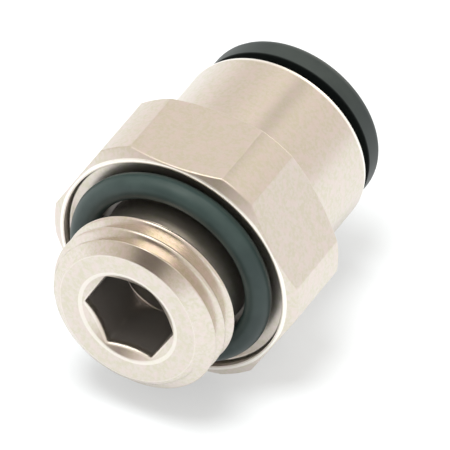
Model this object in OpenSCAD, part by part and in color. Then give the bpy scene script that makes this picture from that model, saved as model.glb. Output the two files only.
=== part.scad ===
// Straight push to connect fitting with a parallel male stud.
// Millimetres, +Z up. The fitting lies on one hexagon flat with its axis along Y:
// the threaded stud points to -Y and the tube goes in from +Y.
// The origin is on the axis, in the plane of the face that seals against the port.

/* [Stud and thread] */
// Outside diameter of the thread
thread_d = 13.157; // [13.0:0.001:13.2]
// Distance from one thread crest to the next
thread_pitch = 1.337; // [1.3:0.001:1.35]
// Depth of the thread
thread_depth = 0.856; // [0.7:0.001:0.9]
// Length of the stud in front of the sealing face
stud_l = 6.5; // [6.5:0.1:9]
// Diameter of the flat front face of the stud
front_face_d = 10.7; // [9.5:0.1:11.5]
// Diameter of the relief groove between the thread and the hexagon
relief_d = 11.2; // [10.8:0.1:11.4]

/* [Hexagon] */
// Wrench size across the flats
hex_af = 18.0; // [17.8:0.1:18.6]
// Diameter over the turned corners
hex_corner_d = 19.4; // [18.8:0.1:20.4]
// Length of the hexagon
hex_l = 7.0; // [7:0.1:8]
// Diameter of the recess that holds the sealing ring
recess_d = 17.3; // [16.8:0.1:17.4]
// Depth of that recess
recess_depth = 0.7; // [0.5:0.05:0.9]

/* [Internal hexagon] */
// Size of the internal hexagon across its flats
socket_af = 6.0; // [5:0.5:6]
// Depth of the internal hexagon from the front face
socket_depth = 4.9; // [3:0.1:5]

/* [Tube] */
// Outside diameter of the tube that is pushed in
tube_d = 8.0; // [7.8:0.1:8]
// Radial clearance between the tube and its guide bore
tube_clearance = 0.055; // [0.02:0.005:0.09]

/* [Barrel] */
// Outside diameter of the barrel
barrel_d = 14.5; // [14.1:0.1:15.5]
// Distance from the sealing face to the end of the barrel
barrel_end = 15.35; // [15.25:0.05:15.5]

/* [Release button] */
// How far the button can be pressed
press_travel = 0.8; // [0.4:0.05:0.8]
// Free gap between the barrel and the button's flange
flange_gap = 0.85; // [0.85:0.05:1.2]
// Thickness of the button's flange
flange_t = 2.0; // [1.6:0.05:2.5]
// Diameter of the button's flange
flange_d = 13.8; // [13.5:0.1:14.5]

/* [Gripping teeth] */
// Angle of a relaxed tooth, measured from the flat of the ring
tooth_angle = 26; // [25:0.5:27]
// Radius of the circle through the tips of the relaxed teeth
tooth_tip_r = 3.8; // [3.75:0.05:3.9]

/* [Node] */
// Which piece to draw

/* [Hidden] */

$fn = 96;
eps = 0.5;      // how far a cutter reaches past the surface it cuts
sliver = 0.01;  // how far the flats' cutter reaches past the hexagon's two ends

// Thread: rings of the right profile stand for the helix.
thread_r = thread_d / 2;
thread_root_r = thread_r - thread_depth;
relief_r = relief_d / 2;
front_chamfer_l = 0.7;
groove_root_w = 0.2;
flank_angle = 27.5;
groove_w = groove_root_w + 2 * thread_depth * tan(flank_angle);
thread_end = -2.93;
last_crest_w = 0.19;
last_groove_y = thread_end - last_crest_w - groove_w / 2;
groove_zone_l = stud_l - front_chamfer_l + thread_end - last_crest_w;
groove_count = floor((groove_zone_l - groove_w) / thread_pitch) + 1;

// Countersink at the mouth of the internal hexagon.
socket_rim_r = 3.77;
socket_cone_angle = 30;
socket_bore_step = 0.05;
through_bore_r = socket_af / 2 - socket_bore_step;
socket_cone_l = (socket_rim_r - through_bore_r) * tan(socket_cone_angle);

// Hexagon
hex_flat_r = hex_af / 2;
hex_corner_r = hex_corner_d / 2;
recess_r = recess_d / 2;
recess_corner = 0.2;
lip_inset = 0.1;
lip_r = hex_flat_r - lip_inset;
hex_chamfer_angle = 30;
front_hex_chamfer_l = (hex_corner_r - lip_r) * tan(hex_chamfer_angle);
rear_hex_chamfer_l = 0.6;
rear_hex_r = hex_corner_r - rear_hex_chamfer_l / tan(hex_chamfer_angle);

// Barrel and the cavities inside it
barrel_r = barrel_d / 2;
barrel_chamfer = 0.3;
tube_stop_y = 1.0;
guide_bore_r = tube_d / 2 + tube_clearance;
guide_end_y = 3.2;
guide_chamfer = 0.2;
seal_cavity_r = 6.0;
cavity_step_y = 6.9;
cavity_r = 6.4;
crimp_r = 6.05;
crimp_l = 0.23;

// Sealing ring on the hexagon's front face
o_ring_r = 6.95;
o_ring_section_r = 0.95;
o_ring_gap = 0.015;
o_ring_y = recess_depth - o_ring_section_r - o_ring_gap;

// Loose pieces in the barrel: all have a small gap to their neighbours.
gap = 0.05;
seal_gap = 0.03;
seal_y = 3.35;
seal_l = 2.65;
seal_bore_r = tube_d / 2 + seal_gap;
seal_r = seal_cavity_r - seal_gap;
seal_notch_l = 1.3;       // depth of the notch between the two lips
seal_lip_root_t = 0.72;   // thickness of each lip at the notch's bottom
seal_inner_lip_t = 0.5;
seal_outer_lip_t = 0.45;
seal_lip_relief = 0.12;   // how far the inner lip's edges stand back from the tube
seal_lip_tip_l = 0.25;
seal_lip_contact_l = 0.6;
seal_lip_l = 1.2;
seal_heel_relief = 0.25;
seal_outer_chamfer = 0.1;
seal_outer_chamfer_l = 0.2;
support_y = seal_y + seal_l + gap;
support_end_y = 9.0;
support_dish_y = 7.2;
support_bore_r = tube_d / 2 + 0.3;
support_r = seal_cavity_r - gap;
support_floor_r = 4.6;
support_rim_r = 5.72;
support_rim_l = 0.3;
ring_y = support_end_y + gap;
ring_t = 0.3;
ring_bore_r = 5.78;
loose_r = cavity_r - gap;
sleeve_y = ring_y + ring_t + gap;
sleeve_end_gap = 0.04;
sleeve_side_gap = 0.02;
sleeve_end_y = barrel_end - crimp_l - sleeve_end_gap;
sleeve_r = cavity_r - sleeve_side_gap;
sleeve_bore_r = 5.28;
sleeve_chamfer = 0.25;
catch_groove_r = 5.8;
catch_groove_y = 10.5;
catch_groove_end_y = 12.9;

// Teeth
tooth_count = 12;
tooth_t = 0.26;
tooth_pivot_r = 5.5;
tooth_pivot_y = ring_y + ring_t / 2;
tooth_root_w = 2.3;
tooth_tip_w = 1.65;
tooth_trim_l = 0.25;      // extra length, cut back to the tip circle
tooth_l = (tooth_pivot_r - tooth_tip_r) / cos(tooth_angle) + tooth_trim_l;

// Release button
flange_y = barrel_end + flange_gap;
button_end = flange_y + flange_t;
button_bore_r = 4.15;
button_mouth_r = 5.2;
button_mouth_l = 0.9;
neck_gap = 0.06;
neck_r = sleeve_bore_r - neck_gap;
nose_y = 9.08;
nose_tip_r = 4.5;
nose_slope = 4 / 3;
barb_r = 5.7;
barb_y = 11.4;
barb_face_y = 12.85;
slot_w = 0.8;
slot_end_y = 13.5;
flange_r = flange_d / 2;
flange_edge_r = 0.8;
flange_front_chamfer = 0.1;

nickel = [0.80, 0.76, 0.71];
steel = [0.74, 0.75, 0.77];
rubber = [0.16, 0.20, 0.21];
polymer = [0.17, 0.20, 0.21];
support_polymer = [0.62, 0.60, 0.55];

// Turns a child whose axis is +Z so that its axis is the row's +Y.
module along_y() {
  rotate([-90, 0, 0])
    children();
}

// Solid of revolution about the fitting's axis from points [radius, y].
module turned(points) {
  along_y()
    rotate_extrude()
      polygon(points);
}

function groove_points(y) = [
  [thread_r, y - groove_w / 2],
  [thread_root_r, y - groove_root_w / 2],
  [thread_root_r, y + groove_root_w / 2],
  [thread_r, y + groove_w / 2]
];

thread_points = [
  for (i = [groove_count - 1:-1:0])
    for (p = groove_points(last_groove_y - i * thread_pitch))
      p
];

stud_points = concat(
  [
    [through_bore_r, -stud_l + socket_cone_l],
    [socket_rim_r, -stud_l],
    [front_face_d / 2, -stud_l],
    [thread_r, -stud_l + front_chamfer_l]
  ],
  thread_points,
  [
    [thread_r, thread_end],
    [relief_r, thread_end + (thread_r - relief_r) * tan(flank_angle)],
    [relief_r, recess_depth]
  ]
);

hexagon_points = [
  [recess_r - recess_corner, recess_depth],
  [recess_r, recess_depth - recess_corner],
  [recess_r, 0],
  [lip_r, 0],
  [hex_corner_r, front_hex_chamfer_l],
  [hex_corner_r, hex_l - rear_hex_chamfer_l],
  [rear_hex_r, hex_l],
  [barrel_r, hex_l]
];

barrel_points = [
  [barrel_r, barrel_end - barrel_chamfer],
  [barrel_r - barrel_chamfer, barrel_end],
  [crimp_r, barrel_end],
  [crimp_r, barrel_end - crimp_l],
  [cavity_r, barrel_end - crimp_l],
  [cavity_r, cavity_step_y],
  [seal_cavity_r, cavity_step_y],
  [seal_cavity_r, guide_end_y],
  [guide_bore_r + guide_chamfer, guide_end_y],
  [guide_bore_r, guide_end_y - guide_chamfer],
  [guide_bore_r, tube_stop_y],
  [through_bore_r, tube_stop_y]
];

// Everything outside the hexagon's flats, over the hexagon's length only.
module flat_cutter() {
  translate([0, -sliver, 0])
    along_y()
      difference() {
        cylinder(r = hex_corner_r + eps, h = hex_l + 2 * sliver);
        translate([0, 0, -eps])
          cylinder(r = hex_flat_r / cos(30), h = hex_l + 3 * eps, $fn = 6);
      }
}

module body() {
  color(nickel)
    difference() {
      turned(concat(stud_points, hexagon_points, barrel_points));
      flat_cutter();
      translate([0, -stud_l - eps, 0])
        along_y()
          cylinder(r = socket_af / 2 / cos(30), h = socket_depth + eps, $fn = 6);
    }
}

module face_o_ring() {
  color(rubber)
    translate([0, o_ring_y, 0])
      along_y()
        rotate_extrude()
          translate([o_ring_r, 0])
            circle(r = o_ring_section_r, $fn = 48);
}

// Lip seal, drawn as it sits round an inserted tube.
module tube_seal() {
  color(rubber)
    turned([
      [seal_bore_r, seal_y + seal_lip_tip_l],
      [seal_bore_r + seal_lip_relief, seal_y],
      [seal_bore_r + seal_inner_lip_t, seal_y],
      [seal_bore_r + seal_lip_root_t, seal_y + seal_notch_l],
      [seal_r - seal_lip_root_t, seal_y + seal_notch_l],
      [seal_r - seal_outer_lip_t, seal_y],
      [seal_r - seal_outer_chamfer, seal_y],
      [seal_r, seal_y + seal_outer_chamfer_l],
      [seal_r, seal_y + seal_l],
      [seal_bore_r + seal_heel_relief, seal_y + seal_l],
      [seal_bore_r + seal_lip_relief, seal_y + seal_lip_l],
      [seal_bore_r, seal_y + seal_lip_contact_l]
    ]);
}

// Cup that backs the seal and leaves the teeth room to swing.
module seal_support_ring() {
  color(support_polymer)
    turned([
      [support_bore_r, support_y],
      [support_r, support_y],
      [support_r, cavity_step_y + gap],
      [loose_r, cavity_step_y + gap],
      [loose_r, support_end_y],
      [support_rim_r, support_end_y],
      [support_rim_r, support_end_y - support_rim_l],
      [support_floor_r, support_dish_y],
      [support_bore_r, support_dish_y]
    ]);
}

module gripping_ring() {
  color(steel)
    turned([
      [ring_bore_r, ring_y],
      [loose_r, ring_y],
      [loose_r, ring_y + ring_t],
      [ring_bore_r, ring_y + ring_t]
    ]);
}

// Outline of a tooth from above: straight over the hinge, then narrowing to the tip.
module tooth_plan() {
  polygon([
    [tooth_t / 2, -tooth_root_w / 2],
    [tooth_t / 2, tooth_root_w / 2],
    [0, tooth_root_w / 2],
    [-tooth_l, tooth_tip_w / 2],
    [-tooth_l, -tooth_tip_w / 2],
    [0, -tooth_root_w / 2]
  ]);
}

// Outline of a tooth from the side: a strip with a round end at the hinge.
module tooth_side() {
  circle(r = tooth_t / 2, $fn = 32);
  translate([-tooth_l - eps, -tooth_t / 2])
    square([tooth_l + eps, tooth_t]);
}

// One tooth, hinged where it leaves the ring and leaning towards the stud.
module grip_tooth(index) {
  color(steel)
    along_y()
      rotate([0, 0, (index - 1) * 360 / tooth_count])
        difference() {
          translate([tooth_pivot_r, 0, tooth_pivot_y])
            rotate([0, -tooth_angle, 0])
              intersection() {
                rotate([90, 0, 0])
                  linear_extrude(height = tooth_root_w + 2 * eps, center = true)
                    tooth_side();
                linear_extrude(height = tooth_t + 2 * eps, center = true)
                  tooth_plan();
              }
          cylinder(r = tooth_tip_r, h = tooth_pivot_y + eps);
        }
}

module grip_tooth_1() { grip_tooth(1); }
module grip_tooth_2() { grip_tooth(2); }
module grip_tooth_3() { grip_tooth(3); }
module grip_tooth_4() { grip_tooth(4); }
module grip_tooth_5() { grip_tooth(5); }
module grip_tooth_6() { grip_tooth(6); }
module grip_tooth_7() { grip_tooth(7); }
module grip_tooth_8() { grip_tooth(8); }
module grip_tooth_9() { grip_tooth(9); }
module grip_tooth_10() { grip_tooth(10); }
module grip_tooth_11() { grip_tooth(11); }
module grip_tooth_12() { grip_tooth(12); }

// Sleeve held by the barrel's rolled edge. Its groove catches the button's barb.
module clamp_sleeve() {
  color(nickel)
    turned([
      [sleeve_bore_r, sleeve_y],
      [sleeve_r, sleeve_y],
      [sleeve_r, sleeve_end_y],
      [sleeve_bore_r + sleeve_chamfer, sleeve_end_y],
      [sleeve_bore_r, sleeve_end_y - sleeve_chamfer],
      [sleeve_bore_r, catch_groove_end_y],
      [catch_groove_r, catch_groove_end_y],
      [catch_groove_r, catch_groove_y],
      [sleeve_bore_r, catch_groove_y]
    ]);
}

button_points = [
  [button_bore_r, nose_y],
  [nose_tip_r, nose_y],
  [neck_r, nose_y + (neck_r - nose_tip_r) * nose_slope],
  [neck_r, barb_y],
  [barb_r, barb_y + barb_r - neck_r],
  [barb_r, barb_face_y],
  [neck_r, barb_face_y],
  [neck_r, flange_y],
  [flange_r - flange_front_chamfer, flange_y],
  [flange_r, flange_y + flange_front_chamfer],
  [flange_r, button_end - flange_edge_r],
  [flange_r - flange_edge_r, button_end],
  [button_mouth_r, button_end],
  [button_bore_r, button_end - button_mouth_l]
];

// Half section of the button, with the flange's outer edge rounded.
module button_section() {
  polygon(button_points);
  translate([flange_r - flange_edge_r, button_end - flange_edge_r])
    circle(r = flange_edge_r, $fn = 48);
}

// Button with a slotted nose, so that its barb can snap into the sleeve.
module release_button() {
  color(polymer)
    difference() {
      along_y()
        rotate_extrude()
          button_section();
      for (turn = [45, 135])
        along_y()
          rotate([0, 0, turn])
            translate([-barb_r - eps, -slot_w / 2, nose_y - eps])
              cube([2 * (barb_r + eps), slot_w, slot_end_y - nose_y + eps]);
    }
}

body();
face_o_ring();
tube_seal();
seal_support_ring();
gripping_ring();
grip_tooth_1();
grip_tooth_2();
grip_tooth_3();
grip_tooth_4();
grip_tooth_5();
grip_tooth_6();
grip_tooth_7();
grip_tooth_8();
grip_tooth_9();
grip_tooth_10();
grip_tooth_11();
grip_tooth_12();
clamp_sleeve();
release_button();
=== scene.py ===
"""Looks of a straight push-in tube fitting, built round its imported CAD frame.

The part's lengths are in millimetres until a mesh is made, and the floor, the lamp and
the textures are in metres. The frame's axes are kept: the axis of the fitting is Y, the
threaded stud points to -Y and +Z is up.
Angles round the axis run from +X towards +Z, in degrees.
"""
import math

import bmesh
import bpy
import numpy as np
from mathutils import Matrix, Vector


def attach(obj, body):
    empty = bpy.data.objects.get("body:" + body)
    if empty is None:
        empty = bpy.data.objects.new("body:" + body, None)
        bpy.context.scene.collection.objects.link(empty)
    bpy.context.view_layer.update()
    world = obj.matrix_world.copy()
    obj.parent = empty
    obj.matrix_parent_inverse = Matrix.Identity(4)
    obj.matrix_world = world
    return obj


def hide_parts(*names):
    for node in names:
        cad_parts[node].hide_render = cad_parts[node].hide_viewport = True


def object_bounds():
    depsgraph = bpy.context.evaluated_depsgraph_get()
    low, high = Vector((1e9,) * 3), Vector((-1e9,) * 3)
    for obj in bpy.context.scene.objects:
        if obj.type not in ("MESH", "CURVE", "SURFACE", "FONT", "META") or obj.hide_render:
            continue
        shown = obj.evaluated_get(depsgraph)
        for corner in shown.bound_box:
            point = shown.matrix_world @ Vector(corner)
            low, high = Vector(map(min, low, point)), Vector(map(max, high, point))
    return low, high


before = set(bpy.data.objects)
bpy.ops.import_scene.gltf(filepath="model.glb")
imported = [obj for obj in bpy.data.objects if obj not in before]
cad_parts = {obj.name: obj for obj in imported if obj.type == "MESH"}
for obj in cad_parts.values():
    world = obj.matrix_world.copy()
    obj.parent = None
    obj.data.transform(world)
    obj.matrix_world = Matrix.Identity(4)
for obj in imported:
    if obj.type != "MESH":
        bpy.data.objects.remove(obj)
cad_low, cad_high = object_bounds()

MM = 0.001

# ---------------------------------------------------------------- dimensions

PITCH = 1.337
CREST_R = 6.5785
THREAD_DEPTH = 0.640327 * PITCH
THREAD_ROUND = 0.137329 * PITCH
FLANK_DEG = 27.5
GROOVE_ANGLE = 75
GROOVE_Y = -5.37
RELIEF_R = 5.6
RELIEF_START_Y = -2.42

FRONT_Y = -6.5
FRONT_FACE_R = 5.35
CHAMFER_L = 0.7
SOCKET_RIM_R = 3.77
SOCKET_CONE_DEG = 30
SOCKET_AF = 6.0
SOCKET_END_Y = -1.6
BORE_R = 2.95
TUBE_STOP_Y = 1.0

HEX_AF = 18.0
HEX_CORNER_R = 9.7
HEX_CHAMFER_DEG = 30
HEX_END_Y = 7.0
HEX_REAR_R = HEX_CORNER_R - 0.6 / math.tan(math.radians(HEX_CHAMFER_DEG))
LIP_R = HEX_AF / 2 - 0.15
RECESS_R = 8.65
RECESS_Y = 0.7
RECESS_CORNER = 0.24

BARREL_R = 7.25
BARREL_END_Y = 15.35
BARREL_EDGE = 0.6
CRIMP_R = 6.05
CRIMP_L = 0.23
CAVITY_R = 6.4
CAVITY_Y = 6.9
SEAL_CAVITY_R = 6.0
GUIDE_R = 4.055
GUIDE_END_Y = 3.2
GUIDE_CHAMFER = 0.2

O_RING_R = 6.95
O_RING_SECTION_R = 0.95
O_RING_Y = -0.265
O_RING_FLASH = 0.012
O_RING_FLASH_WIDTH = 0.09

FLANGE_Y = 16.2
BUTTON_END_Y = 18.2
FLANGE_R = 6.9
FLANGE_EDGE = 0.8
BUTTON_BORE_R = 4.15
BUTTON_MOUTH_R = 5.2
BUTTON_MOUTH_L = 0.9
NECK_R = 5.22
NOSE_Y = 9.08
NOSE_TIP_R = 4.5
NOSE_SLOPE = 4 / 3
BARB_R = 5.7
BARB_Y = 11.4
BARB_FACE_Y = 12.85
SLOT_W = 0.8
SLOT_END_Y = 13.5

SHARP_STEPS = 5
ROUND_STEPS = 9
ROUND_FROM = 0.15

SHARP_ANGLE = 35

THREAD_RINGS_FROM = 0.06
THREAD_RINGS_PAST = 0.12
THREAD_RING_STEP = 0.04
# Painted shade on the relief starts at this y, and in the socket it is full this deep.
RELIEF_SHADE_Y = -0.9
SOCKET_SHADE_DEPTH = 0.6
CHAMFER_CREASE = 0.05
RELIEF_CREASE = 0.06
HEX_CORNER_CREASE = 0.02
SOCKET_CORNER_CREASE = 0.03
SOCKET_CORNER_CUT = 0.04

# ------------------------------------------------------------------- meshes


def soft_min(a, b, width):
    """The smaller of a and b, with the crease between them rounded over width."""
    h = np.clip(0.5 + 0.5 * (b - a) / width, 0, 1)
    return b + (a - b) * h - width * h * (1 - h)


def column_angles(step, edges=(), near=()):
    """Angles round the axis, every step degrees, with extra ones near each edge."""
    angles = list(np.arange(0, 360, step))
    for edge in edges:
        angles += [(edge + sign * n) % 360 for n in near for sign in (-1, 1)]
        angles.append(edge % 360)
    return np.unique(np.round(angles, 3))


def round_corners(profile, angles):
    """Turns (radius, y, softness, mark) rows into rings of points, and marks.

    radius and y may change with the angle. A row with softness 0 stays one ring,
    and any other becomes a rounded edge that starts at most softness from the corner.
    A mark above 0 is how much painted shade a ring gets, and one below 0 is how
    strong a painted highlight its edge gets. The highlight stays on the rounded edge itself.
    """
    count = len(profile)
    point = np.zeros((count, len(angles), 2))
    for i, (radius, y, _, _) in enumerate(profile):
        point[i, :, 0] = radius
        point[i, :, 1] = y
    rings, marks = [], []
    for i, (_, _, softness, mark) in enumerate(profile):
        here = point[i]
        if softness == 0:
            rings.append(here)
            marks.append(mark)
            continue
        ends = []
        for other in (point[i - 1], point[(i + 1) % count]):
            way = other - here
            length = np.linalg.norm(way, axis=1, keepdims=True)
            reach = np.minimum(softness, 0.45 * length)
            ends.append(here + way / np.maximum(length, 1e-9) * reach)
        for t in np.linspace(0, 1, ROUND_STEPS if softness >= ROUND_FROM else SHARP_STEPS):
            rings.append((1 - t) ** 2 * ends[0] + 2 * t * (1 - t) * here + t ** 2 * ends[1])
            marks.append(mark if mark > 0 or 0 < t < 1 else 0.0)
    return np.array(rings), np.array(marks)


def smooth_normals(co, turn):
    """Normals of the surface through the points.

    Round the axis, uneven columns don't sway them. Along the profile, a long segment
    counts more than a short one beside it, so that wide faces stay flat up to their
    rounded edges.
    """
    before = np.radians((np.degrees(turn - np.roll(turn, 1)) % 360))[None, :, None]
    after = np.roll(before, -1, axis=1)
    to_here = (co - np.roll(co, 1, axis=1)) / before
    to_next = (np.roll(co, -1, axis=1) - co) / after
    around = (to_here * after + to_next * before) / (before + after)
    along = np.roll(co, -1, axis=0) - np.roll(co, 1, axis=0)
    normals = np.cross(around, along)
    return normals / np.maximum(np.linalg.norm(normals, axis=2, keepdims=True), 1e-12)


def ring_object(name, angles, rings, marks=None):
    """A closed surface from rings of (radius, y) points round the Y axis, in millimetres."""
    ring_count, column_count = rings.shape[:2]
    turn = np.radians(angles)
    co = np.empty((ring_count, column_count, 3))
    co[:, :, 0] = rings[:, :, 0] * np.cos(turn)
    co[:, :, 1] = rings[:, :, 1]
    co[:, :, 2] = rings[:, :, 0] * np.sin(turn)
    i, j = np.meshgrid(np.arange(ring_count), np.arange(column_count), indexing="ij")
    i2, j2 = (i + 1) % ring_count, (j + 1) % column_count
    corner_places = [(i, j), (i, j2), (i2, j2), (i2, j)]
    faces = np.stack([(ring * column_count + column).ravel() for ring, column in corner_places], axis=1)
    flat = co.reshape(-1, 3)
    a, b, c = flat[faces[:, 0]], flat[faces[:, 1]], flat[faces[:, 2]]
    d = flat[faces[:, 3]]
    signed = np.einsum("ij,ij->i", a, np.cross(b, c)) + np.einsum("ij,ij->i", a, np.cross(c, d))
    normals = smooth_normals(co, turn).reshape(-1, 3)
    if signed.sum() < 0:
        faces = faces[:, ::-1]
        normals = -normals
    mesh = bpy.data.meshes.new(name)
    mesh.from_pydata((flat * MM).tolist(), [], faces.tolist())
    mesh.validate()
    for mark, values in (marks or {}).items():
        attribute = mesh.attributes.new(mark, "FLOAT", "POINT")
        attribute.data.foreach_set("value", values.astype(np.float32).ravel())
    mesh.shade_smooth()
    mesh.normals_split_custom_set_from_vertices(normals.tolist())
    obj = bpy.data.objects.new(name, mesh)
    bpy.context.scene.collection.objects.link(obj)
    return obj


# -------------------------------------------------------------------- body


def thread_radius(angle, y):
    """Radius of a right-handed rounded thread at an angle and a y."""
    groove_y = GROOVE_Y - PITCH * (angle - GROOVE_ANGLE) / 360
    turns = (y - groove_y) / PITCH
    u = np.abs(turns - np.round(turns)) * PITCH
    flank = math.radians(FLANK_DEG)
    root_r = CREST_R - THREAD_DEPTH
    arc_u = THREAD_ROUND * math.cos(flank)
    arc_h = THREAD_ROUND * (1 - math.sin(flank))
    root = root_r + THREAD_ROUND - np.sqrt(np.maximum(THREAD_ROUND ** 2 - u ** 2, 0))
    from_crest = PITCH / 2 - u
    crest = CREST_R - THREAD_ROUND + np.sqrt(np.maximum(THREAD_ROUND ** 2 - from_crest ** 2, 0))
    slope = root_r + arc_h + (u - arc_u) / math.tan(flank)
    return np.where(u < arc_u, root, np.where(from_crest < arc_u, crest, slope))


def stud_radius(angle, y):
    """The thread, cut by the chamfer in front and by the relief groove behind."""
    chamfer = FRONT_FACE_R + (y - FRONT_Y) * (CREST_R - FRONT_FACE_R) / CHAMFER_L
    relief = RELIEF_R + max(0.0, RELIEF_START_Y - y) / math.tan(math.radians(FLANK_DEG))
    radius = soft_min(thread_radius(angle, y), np.full_like(angle, chamfer), CHAMFER_CREASE)
    return soft_min(radius, np.full_like(angle, relief), RELIEF_CREASE)


def hexagon_radius(angle, across_flats, corner_r, softness):
    """Radius of a hexagon with two corners on the X axis and every corner cut to corner_r."""
    from_flat = np.radians(angle % 60 - 30)
    return soft_min(across_flats / 2 / np.cos(from_flat), np.full_like(angle, corner_r), softness)


def make_body():
    """The body as one closed surface: stud, O-ring recess, hexagon, barrel and its bores."""
    flat_half = math.degrees(math.acos(HEX_AF / 2 / HEX_CORNER_R))
    hex_edges = [30 + 60 * k + side * flat_half for k in range(6) for side in (-1, 1)]
    socket_corners = [60 * k for k in range(6)]
    angles = column_angles(2, hex_edges + socket_corners, (0.15, 0.35, 0.6, 1.0))

    outline = hexagon_radius(angles, HEX_AF, HEX_CORNER_R, HEX_CORNER_CREASE)
    socket_corner_r = SOCKET_AF / 2 / math.cos(math.pi / 6) - SOCKET_CORNER_CUT
    socket = hexagon_radius(angles, SOCKET_AF, socket_corner_r, SOCKET_CORNER_CREASE)
    hex_tan = math.tan(math.radians(HEX_CHAMFER_DEG))
    socket_tan = math.tan(math.radians(SOCKET_CONE_DEG))
    socket_y = FRONT_Y + (SOCKET_RIM_R - socket) * socket_tan

    profile = [
        # Painted highlights on the socket's rims and on the front face's edge.
        (socket, socket_y, 0.24, -0.5),
        (SOCKET_RIM_R, FRONT_Y, 0.18, -0.45),
        (FRONT_FACE_R, FRONT_Y, 0.07, -0.2),
    ]
    first_y = FRONT_Y + THREAD_RINGS_FROM
    for y in np.arange(first_y, RELIEF_START_Y + THREAD_RINGS_PAST, THREAD_RING_STEP):
        profile.append((stud_radius(angles, y), y, 0, 0.0))
    profile += [
        # Painted shade on the relief groove and the recess floor behind the O-ring.
        (RELIEF_R, RELIEF_SHADE_Y, 0, 0.3),
        (RELIEF_R, RECESS_Y, 0.08, 1.0),
        (RECESS_R, RECESS_Y, RECESS_CORNER, 0.0),
        (RECESS_R, 0.0, 0.05, 0.0),
        # Painted highlight on the lip round the recess.
        (LIP_R, 0.0, 0.2, -0.9),
        (outline, (outline - LIP_R) * hex_tan, 0.09, 0.0),
        (outline, HEX_END_Y - (outline - HEX_REAR_R) * hex_tan, 0.06, 0.0),
        (HEX_REAR_R, HEX_END_Y, 0.05, 0.0),
        (BARREL_R, HEX_END_Y, 0.12, 0.0),
        # Painted highlight on the barrel's rounded end.
        (BARREL_R, BARREL_END_Y, BARREL_EDGE, -1.0),
        (CRIMP_R, BARREL_END_Y, 0.06, 0.0),
        # Painted shade in the cavities, the bores and the depth of the socket.
        (CRIMP_R, BARREL_END_Y - CRIMP_L, 0.04, 0.4),
        (CAVITY_R, BARREL_END_Y - CRIMP_L, 0.04, 0.6),
        (CAVITY_R, CAVITY_Y, 0.05, 0.6),
        (SEAL_CAVITY_R, CAVITY_Y, 0.05, 0.6),
        (SEAL_CAVITY_R, GUIDE_END_Y, 0.05, 0.6),
        (GUIDE_R + GUIDE_CHAMFER, GUIDE_END_Y, 0.04, 0.6),
        (GUIDE_R, GUIDE_END_Y - GUIDE_CHAMFER, 0.04, 0.5),
        (GUIDE_R, TUBE_STOP_Y, 0.05, 0.5),
        (BORE_R, TUBE_STOP_Y, 0.05, 0.5),
        (BORE_R, SOCKET_END_Y, 0.16, 0.2),
        (socket, SOCKET_END_Y, 0.03, 1.0),
        (socket, socket_y + SOCKET_SHADE_DEPTH, 0, 1.0),
    ]
    rings, marks = round_corners(profile, angles)
    shape = rings.shape[:2]
    radius, depth = rings[:, :, 0], rings[:, :, 1]
    flat = (radius > LIP_R + 0.02) & (radius < HEX_CORNER_R - 0.05) & (depth > 0)
    on_stud = (radius > FRONT_FACE_R + 0.05) & (depth < RELIEF_START_Y)
    return ring_object(
        "fitting_body_shell",
        angles,
        rings,
        {
            # Painted shade, and painted highlights on rounded edges, go to the nickel as marks.
            "inside": np.broadcast_to(np.maximum(marks, 0)[:, None], shape),
            "painted_highlight": np.broadcast_to(np.maximum(-marks, 0)[:, None], shape),
            "flat": flat.astype(float),
            "polish": on_stud.astype(float),
        },
    )


# ----------------------------------------------------------- O-ring, button


def make_o_ring():
    """A torus with the faint moulding line that a real O-ring has on its inner and outer edge."""
    angles = column_angles(2)
    around = np.radians(np.arange(0, 360, 6))
    from_line = np.abs(np.sin(around))
    flash = O_RING_FLASH * np.exp(-((from_line / O_RING_FLASH_WIDTH) ** 2))
    section = O_RING_SECTION_R + flash - O_RING_FLASH
    rings = np.empty((len(around), len(angles), 2))
    rings[:, :, 0] = (O_RING_R + section * np.cos(around))[:, None]
    rings[:, :, 1] = (O_RING_Y + section * np.sin(around))[:, None]
    return ring_object("face_o_ring_moulded", angles, rings)


def recalculate_outward(mesh):
    """Turns every face of a closed mesh to point outwards."""
    bm = bmesh.new()
    bm.from_mesh(mesh)
    bmesh.ops.recalc_face_normals(bm, faces=bm.faces)
    bm.to_mesh(mesh)
    bm.free()


def cut_slots(obj):
    """Cuts two crossed slots through the button's nose, at 45 and 135 degrees."""
    half_length = BARB_R + 1
    half_width = SLOT_W / 2
    cutters = []
    for turn in (45, 135):
        cos_turn = math.cos(math.radians(turn))
        sin_turn = math.sin(math.radians(turn))
        corners = []
        for y in (NOSE_Y - 1, SLOT_END_Y):
            for u, w in ((-1, -1), (1, -1), (1, 1), (-1, 1)):
                x = u * half_length * cos_turn - w * half_width * sin_turn
                z = u * half_length * sin_turn + w * half_width * cos_turn
                corners.append((x * MM, y * MM, z * MM))
        faces = [(3, 2, 1, 0), (4, 5, 6, 7)]
        faces += [(k, (k + 1) % 4, 4 + (k + 1) % 4, 4 + k) for k in range(4)]
        mesh = bpy.data.meshes.new(f"slot_cutter_{turn}")
        mesh.from_pydata(corners, [], faces)
        mesh.validate()
        cutter = bpy.data.objects.new(f"slot_cutter_{turn}", mesh)
        bpy.context.scene.collection.objects.link(cutter)
        recalculate_outward(mesh)
        modifier = obj.modifiers.new(f"slot_{turn}", "BOOLEAN")
        modifier.operation = "DIFFERENCE"
        modifier.solver = "EXACT"
        modifier.object = cutter
        cutters.append(cutter)
    depsgraph = bpy.context.evaluated_depsgraph_get()
    cut = bpy.data.meshes.new_from_object(obj.evaluated_get(depsgraph), depsgraph=depsgraph)
    obj.modifiers.clear()
    obj.data = cut
    for cutter in cutters:
        bpy.data.objects.remove(cutter)
    cut.shade_smooth()
    cut.set_sharp_from_angle(angle=math.radians(SHARP_ANGLE))


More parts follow.
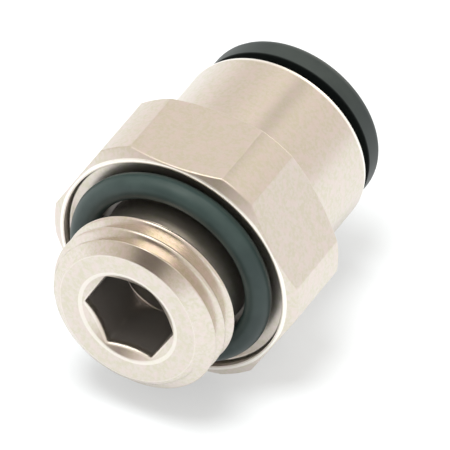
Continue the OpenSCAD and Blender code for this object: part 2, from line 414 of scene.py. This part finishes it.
def make_button():
    """The release button, from its slotted nose and barb to the rounded flange."""
    angles = column_angles(2.5)
    neck_nose_y = NOSE_Y + (NECK_R - NOSE_TIP_R) * NOSE_SLOPE
    profile = [
        (BUTTON_BORE_R, NOSE_Y, 0.05, 0),
        (NOSE_TIP_R, NOSE_Y, 0.05, 0),
        (NECK_R, neck_nose_y, 0.08, 0),
        (NECK_R, BARB_Y, 0.05, 0),
        (BARB_R, BARB_Y + BARB_R - NECK_R, 0.06, 0),
        (BARB_R, BARB_FACE_Y, 0.04, 0),
        (NECK_R, BARB_FACE_Y, 0.04, 0),
        (NECK_R, FLANGE_Y, 0.12, 0),
        (FLANGE_R, FLANGE_Y, 0.1, 0),
    ]
    for degrees in range(0, 91, 10):
        turn = math.radians(degrees)
        radius = FLANGE_R - FLANGE_EDGE + FLANGE_EDGE * math.cos(turn)
        y = BUTTON_END_Y - FLANGE_EDGE + FLANGE_EDGE * math.sin(turn)
        profile.append((radius, y, 0, 0))
    profile += [
        (BUTTON_MOUTH_R, BUTTON_END_Y, 0.12, 0),
        (BUTTON_BORE_R, BUTTON_END_Y - BUTTON_MOUTH_L, 0.15, 0),
    ]
    rings, _ = round_corners(profile, angles)
    button = ring_object("release_button_moulded", angles, rings)
    cut_slots(button)
    return button


# ---------------------------------------------------------------- materials


class Nodes:
    """Short calls for building a node tree."""

    def __init__(self, tree):
        self.tree = tree

    def put(self, socket, value):
        """Links a socket to another one, or gives it a plain value."""
        if isinstance(value, bpy.types.NodeSocket):
            self.tree.links.new(value, socket)
        else:
            socket.default_value = value

    def add(self, kind, inputs=None, **settings):
        node = self.tree.nodes.new(kind)
        for key, value in settings.items():
            setattr(node, key, value)
        for key, value in (inputs or {}).items():
            self.put(node.inputs[key], value)
        return node

    def math(self, operation, a, b=0.0):
        return self.add("ShaderNodeMath", {0: a, 1: b}, operation=operation).outputs[0]

    def mix(self, factor, a, b):
        return self.add("ShaderNodeMix", {0: factor, 6: a, 7: b}, data_type="RGBA").outputs[2]

    def attribute(self, name):
        return self.add("ShaderNodeAttribute", attribute_name=name).outputs["Fac"]

    def bump(self, strength, distance, height):
        inputs = {"Strength": strength, "Distance": distance, "Height": height}
        return self.add("ShaderNodeBump", inputs).outputs[0]

    def ramp(self, value, low, high, out_low=0.0, out_high=1.0):
        node = self.add(
            "ShaderNodeMapRange",
            {0: value, 1: low, 2: high, 3: out_low, 4: out_high},
            interpolation_type="SMOOTHSTEP",
        )
        return node.outputs[0]

    def noise(self, vector, scale, detail, roughness):
        node = self.add(
            "ShaderNodeTexNoise",
            {"Vector": vector, "Scale": scale, "Detail": detail, "Roughness": roughness},
        )
        return node.outputs["Fac"]


def empty_material(name):
    """A material without nodes, and the helper that fills it."""
    material = bpy.data.materials.new(name)
    material.use_nodes = True
    material.node_tree.nodes.clear()
    return material, Nodes(material.node_tree)


def surface(nodes, colour, roughness, bump, metallic=0.0, specular=0.5):
    """Ends a material's nodes in one Principled shader."""
    shader = nodes.add(
        "ShaderNodeBsdfPrincipled",
        {
            "Base Color": colour,
            "Roughness": roughness,
            "Normal": bump,
            "Metallic": metallic,
            "Specular IOR Level": specular,
        },
    )
    nodes.add("ShaderNodeOutputMaterial", {0: shader.outputs[0]})


def turned_vector(nodes, sway_size):
    """Coordinates that make streaks run round the axis, as a lathe leaves them.

    sway_size is how far they drift on the way round. The plain place is returned too.
    """
    place = nodes.add("ShaderNodeTexCoord").outputs["Object"]
    x, y, z = nodes.add("ShaderNodeSeparateXYZ", {0: place}).outputs
    squares = nodes.math("ADD", nodes.math("MULTIPLY", x, x), nodes.math("MULTIPLY", z, z))
    radius = nodes.math("SQRT", squares)
    angle = nodes.math("ARCTAN2", z, x)
    sway = nodes.math("MULTIPLY", nodes.math("SINE", angle), sway_size)
    vector = nodes.add("ShaderNodeCombineXYZ", {0: radius, 1: y, 2: sway}).outputs[0]
    return vector, place


YELLOWISH = (0.93, 0.95, 0.85, 1)
PINKISH = (1.05, 0.985, 1.04, 1)
# A painted highlight colour for rounded edges of the nickel.
PAINTED_HIGHLIGHT_COLOUR = (0.96, 0.93, 0.87, 1)
# Painted shade for the button's skin in the gap at the barrel's end, and the band it fades over.
GAP_SHADE_COLOUR = (0.006, 0.008, 0.008, 1)
GAP_SHADE_BAND = 0.12
NICKEL_SWAY = 0.0006
SOFT_SWAY = 0.0009
NICKEL_BUMP_DEPTH = 0.000012
SKIN_BUMP_DEPTH = 0.00001
SOFT_SPECULAR = 0.4
# How much gloss that painted shade takes away.
GAP_SHADE_GLOSS_LOSS = 0.3
NICKEL_ROUGHNESS = 0.24
STUD_POLISH = 0.09
INSIDE_ROUGHNESS = 0.2


def nickel_material(name, lit, shade=None):
    """Satin nickel plating: lathe lines, drawn lines on the flats and a faint mottle.

    With a shade colour it also reads the marks that make_body leaves on the mesh: it
    paints shade into hollows, gaps and bores, and highlights onto rounded edges.
    """
    material, nodes = empty_material(name)
    lathe_vector, place = turned_vector(nodes, NICKEL_SWAY)
    lathe = nodes.noise(lathe_vector, scale=9000.0, detail=2.0, roughness=0.6)
    mottle = nodes.noise(place, scale=3600.0, detail=2.0, roughness=0.6)
    cloud = nodes.noise(place, scale=1500.0, detail=2.0, roughness=0.5)
    grain = nodes.noise(place, scale=9000.0, detail=2.0, roughness=0.5)

    yellowish = [c * k for c, k in zip(lit, YELLOWISH)]
    pinkish = [c * k for c, k in zip(lit, PINKISH)]
    colour = nodes.mix(nodes.ramp(mottle, 0.38, 0.62), lit, yellowish)
    colour = nodes.mix(nodes.ramp(cloud, 0.45, 0.65, 0.0, 0.6), colour, pinkish)
    roughness = nodes.math("ADD", NICKEL_ROUGHNESS, nodes.math("MULTIPLY", mottle, 0.08))
    lines = lathe
    if shade is not None:
        drawn_vector = nodes.add("ShaderNodeMapping", {0: place, 3: (1.0, 0.035, 1.0)}).outputs[0]
        drawn = nodes.noise(drawn_vector, scale=6500.0, detail=2.0, roughness=0.6)
        on_flat = nodes.attribute("flat")
        turned_lines = nodes.math("MULTIPLY", lathe, nodes.math("SUBTRACT", 1.0, on_flat))
        lines = nodes.math("ADD", turned_lines, nodes.math("MULTIPLY", drawn, on_flat))

        # Painted highlight on rounded edges.
        highlight_amount = nodes.math("MULTIPLY", nodes.attribute("painted_highlight"), nodes.ramp(mottle, 0.25, 0.5, 0.7, 1.0))
        # Painted shade in hollows, gaps and bores.
        inside = nodes.attribute("inside")
        colour = nodes.mix(highlight_amount, colour, PAINTED_HIGHLIGHT_COLOUR)
        colour = nodes.mix(inside, colour, shade)

        polish = nodes.math("MULTIPLY", nodes.attribute("polish"), STUD_POLISH)
        roughness = nodes.math("SUBTRACT", roughness, polish)
        roughness = nodes.math("ADD", roughness, nodes.math("MULTIPLY", inside, INSIDE_ROUGHNESS))
    roughness = nodes.math("ADD", roughness, nodes.math("MULTIPLY", lines, 0.06))
    height = nodes.math("ADD", nodes.math("MULTIPLY", lines, 0.6), nodes.math("MULTIPLY", grain, 0.4))
    surface(nodes, colour, roughness, nodes.bump(0.3, NICKEL_BUMP_DEPTH, height), metallic=1.0)
    return material


def soft_material(name, colour, pale, roughness, speck, shade_painted_below=None):
    """Rubber or moulded plastic: a fine grained skin with faint pale and dark patches.

    Below a given y, if one is given, shade is painted in: the skin is darker and less glossy, so that a
    gap there looks black.
    """
    material, nodes = empty_material(name)
    lathe_vector, place = turned_vector(nodes, SOFT_SWAY)
    skin = nodes.noise(place, scale=4200.0, detail=3.0, roughness=0.6)
    patch = nodes.noise(place, scale=380.0, detail=3.0, roughness=0.6)
    flow = nodes.noise(lathe_vector, scale=2400.0, detail=2.0, roughness=0.5)
    body = nodes.mix(nodes.ramp(patch, 0.38, 0.68), colour, pale)
    body = nodes.mix(nodes.ramp(skin, 0.66, 0.78, 0.0, speck), body, pale)
    rough = nodes.math("ADD", roughness, nodes.math("MULTIPLY", patch, 0.12))
    specular = SOFT_SPECULAR
    # Painted shade: below that y the skin turns near-black and less glossy.
    if shade_painted_below is not None:
        y = nodes.add("ShaderNodeSeparateXYZ", {0: place}).outputs[1]
        gap_shade = nodes.ramp(y, shade_painted_below * MM, (shade_painted_below + GAP_SHADE_BAND) * MM, 1.0, 0.0)
        body = nodes.mix(gap_shade, body, GAP_SHADE_COLOUR)
        loss = nodes.math("MULTIPLY", gap_shade, GAP_SHADE_GLOSS_LOSS)
        specular = nodes.math("SUBTRACT", SOFT_SPECULAR, loss)
    height = nodes.math("ADD", nodes.math("MULTIPLY", skin, 0.7), nodes.math("MULTIPLY", flow, 0.3))
    surface(nodes, body, rough, nodes.bump(0.25, SKIN_BUMP_DEPTH, height), specular=specular)
    return material


def steel_material():
    """Pressed spring steel with rolling lines."""
    material, nodes = empty_material("stainless_steel")
    place = nodes.add("ShaderNodeTexCoord").outputs["Object"]
    stretched = nodes.add("ShaderNodeMapping", {0: place, 3: (1.0, 1.0, 0.05)}).outputs[0]
    rolled = nodes.noise(stretched, scale=5200.0, detail=2.0, roughness=0.6)
    cloud = nodes.noise(place, scale=700.0, detail=2.0, roughness=0.5)
    colour = nodes.mix(nodes.ramp(cloud, 0.35, 0.7), (0.60, 0.61, 0.63, 1), (0.50, 0.505, 0.52, 1))
    rough = nodes.math("ADD", 0.22, nodes.math("MULTIPLY", rolled, 0.16))
    surface(nodes, colour, rough, nodes.bump(0.25, SKIN_BUMP_DEPTH, rolled), metallic=1.0)
    return material


# --------------------------------------------------------- light and camera

CAMERA_AZIMUTH = 28.81
CAMERA_ELEVATION = 40.91
CAMERA_DISTANCE = 833.3
PICTURE_WIDTH = 31.372
SENSOR_WIDTH = 36
ORIGIN_RIGHT_OF_CENTRE = -0.1167
ORIGIN_BELOW_CENTRE = 0.0892


def back_vector():
    """Direction from the origin to the camera."""
    a, e = math.radians(CAMERA_AZIMUTH), math.radians(CAMERA_ELEVATION)
    return Vector((math.sin(a) * math.cos(e), -math.cos(a) * math.cos(e), math.sin(e)))


def make_camera():
    """A long lens whose picture is PICTURE_WIDTH millimetres wide at the origin."""
    data = bpy.data.cameras.new("camera")
    data.sensor_width = SENSOR_WIDTH
    data.lens = SENSOR_WIDTH * CAMERA_DISTANCE / PICTURE_WIDTH
    data.shift_x = -ORIGIN_RIGHT_OF_CENTRE
    data.shift_y = ORIGIN_BELOW_CENTRE
    data.clip_start, data.clip_end = 0.01, 50
    camera = bpy.data.objects.new("camera", data)
    bpy.context.scene.collection.objects.link(camera)
    back = back_vector()
    camera.location = back * CAMERA_DISTANCE * MM
    camera.rotation_mode = "QUATERNION"
    camera.rotation_quaternion = (-back).to_track_quat("-Z", "Y")
    bpy.context.scene.camera = camera


LOW_SKY = (0.98, 0.915, 0.885, 1)
HIGH_SKY = (0.90, 0.84, 0.77, 1)
BRIGHT_STRIP = (3.4, 3.2, 2.9, 1)

# Each row is a direction, the degrees from it at which its patch starts and ends fading,
# and a colour. Later rows lie over earlier ones. The comments say what mostly reflects a
# patch towards the camera, with the part at rest.
SKY_PATCHES = [
    # The rounded end of the barrel and the button's flange.
    ((0.1, 0.98, 0.12), 12, 27, (2.3, 2.15, 1.9, 1)),
    # The upper left of the barrel and the hexagon's turned corner in front of it.
    ((-0.75, 0.66, -0.02), 10, 24, (1.15, 1.12, 1.08, 1)),
    # Small parts of the O-ring and of the thread's crests and roots.
    ((0.26, 0.38, 0.88), 5, 12, BRIGHT_STRIP),
    ((0.04, 0.36, 0.93), 5, 12, BRIGHT_STRIP),
    ((-0.18, 0.32, 0.93), 5, 12, BRIGHT_STRIP),
    # The dark strip along the barrel, and part of a turned corner of the hexagon.
    ((0.13, 0.662, 0.738), 3.5, 10, (0.05, 0.04, 0.025, 1)),
    # The chamfers of the stud and the hexagon, and the flanks that face the front.
    ((-0.109, -0.967, 0.237), 12, 36, (0.68, 0.61, 0.53, 1)),
    ((-0.109, -0.967, 0.237), 6, 16, (0.13, 0.10, 0.085, 1)),
    # Small parts of the O-ring, the socket and the thread.
    ((-0.22, -0.26, 0.94), 7, 20, (3.2, 3.05, 2.85, 1)),
]
BACKDROP_STRENGTH = 1.2


def make_world():
    """Surroundings with bright and dark patches for the metal, and a white backdrop."""
    world = bpy.data.worlds.new("studio")
    bpy.context.scene.world = world
    world.use_nodes = True
    world.node_tree.nodes.clear()
    nodes = Nodes(world.node_tree)
    direction = nodes.add("ShaderNodeTexCoord").outputs["Generated"]
    up = nodes.add("ShaderNodeSeparateXYZ", {0: direction}).outputs[2]
    colour = nodes.mix(nodes.ramp(up, -0.05, 0.6), LOW_SKY, HIGH_SKY)
    for towards, inner, outer, tint in SKY_PATCHES:
        axis = Vector(towards).normalized()
        along = nodes.add("ShaderNodeVectorMath", {0: direction, 1: axis}, operation="DOT_PRODUCT")
        low = math.cos(math.radians(outer))
        high = math.cos(math.radians(inner))
        colour = nodes.mix(nodes.ramp(along.outputs["Value"], low, high), colour, tint)
    light = nodes.add("ShaderNodeBackground", {"Color": colour, "Strength": 1.0})
    seen = nodes.add("ShaderNodeBackground", {"Color": (1, 1, 1, 1), "Strength": BACKDROP_STRENGTH})
    camera_ray = nodes.add("ShaderNodeLightPath").outputs["Is Camera Ray"]
    both = nodes.add("ShaderNodeMixShader", {0: camera_ray, 1: light.outputs[0], 2: seen.outputs[0]})
    nodes.add("ShaderNodeOutputWorld", {0: both.outputs[0]})


LAMP_PLACE = (-0.05, -0.14, 0.78)
LAMP_SIZE = 0.4
LAMP_POWER = 7.0
LAMP_COLOUR = (1.0, 0.98, 0.95)


def make_key_light():
    """A soft lamp overhead, a little to the stud's side. Reflections don't show it."""
    data = bpy.data.lights.new("overhead_box", "AREA")
    data.shape = "DISK"
    data.size = LAMP_SIZE
    data.energy = LAMP_POWER
    data.color = LAMP_COLOUR
    lamp = bpy.data.objects.new("overhead_box", data)
    bpy.context.scene.collection.objects.link(lamp)
    lamp.location = LAMP_PLACE
    lamp.rotation_mode = "QUATERNION"
    lamp.rotation_quaternion = (-lamp.location).to_track_quat("-Z", "Y")
    lamp.visible_camera = False
    lamp.visible_glossy = False


FLOOR_HALF_SIDE = 3.0
FLOOR_COLOUR = (0.34, 0.365, 0.385, 1)
FLOOR_GLOW = 0.48


def make_floor():
    """A white floor that gives off part of its light, so that its shadows stay pale."""
    side = FLOOR_HALF_SIDE
    low = cad_low.z
    mesh = bpy.data.meshes.new("floor")
    corners = [(-side, -side, low), (side, -side, low), (side, side, low), (-side, side, low)]
    mesh.from_pydata(corners, [], [(0, 1, 2, 3)])
    floor = bpy.data.objects.new("floor", mesh)
    bpy.context.scene.collection.objects.link(floor)
    material, nodes = empty_material("white_floor")
    paper = nodes.add("ShaderNodeBsdfDiffuse", {"Color": FLOOR_COLOUR})
    glow = nodes.add("ShaderNodeEmission", {"Color": (1, 1, 1, 1), "Strength": FLOOR_GLOW})
    both = nodes.add("ShaderNodeAddShader", {0: paper.outputs[0], 1: glow.outputs[0]})
    nodes.add("ShaderNodeOutputMaterial", {0: both.outputs[0]})
    mesh.materials.append(material)


# ------------------------------------------------------------------- build

# Its second colour is the painted shade for hollows, gaps and bores.
nickel = nickel_material("nickel_plate", (0.70, 0.64, 0.585, 1), (0.42, 0.40, 0.385, 1))
inner_nickel = nickel_material("nickel_plate_inner", (0.66, 0.60, 0.52, 1))
rubber = soft_material(
    "black_rubber", (0.018, 0.034, 0.033, 1), (0.027, 0.046, 0.044, 1), roughness=0.34, speck=0.25
)
# The button's skin gets painted shade up to its flange's front face, in the gap at the barrel's end.
polymer = soft_material(
    "black_polymer",
    (0.013, 0.020, 0.020, 1),
    (0.019, 0.027, 0.026, 1),
    roughness=0.42,
    speck=0.3,
    shade_painted_below=FLANGE_Y,
)
pale_polymer = soft_material(
    "support_polymer", (0.55, 0.52, 0.46, 1), (0.62, 0.60, 0.54, 1), roughness=0.45, speck=0.3
)
steel = steel_material()

for piece, rides, node_name, slot, look in (
    (make_body(), "fitting_body", "body", "nickel_plate", nickel),
    (make_o_ring(), "fitting_body", "face_o_ring", "black_rubber", rubber),
    (make_button(), "button", "release_button", "black_polymer", polymer),
):
    piece.data.materials.clear()
    piece.data.materials.append(look)
    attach(piece, rides)
    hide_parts(node_name)

CAD_LOOKS = {
    "tube_seal": rubber,
    "seal_support_ring": pale_polymer,
    "clamp_sleeve": inner_nickel,
    "gripping_ring": steel,
}
for node_name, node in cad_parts.items():
    look = CAD_LOOKS.get(node_name, steel if node_name.startswith("grip_tooth") else None)
    if look is None:
        continue
    node.data.materials.clear()
    node.data.materials.append(look)

make_floor()
make_key_light()
make_world()
make_camera()
bpy.context.scene.view_settings.view_transform = "Standard"
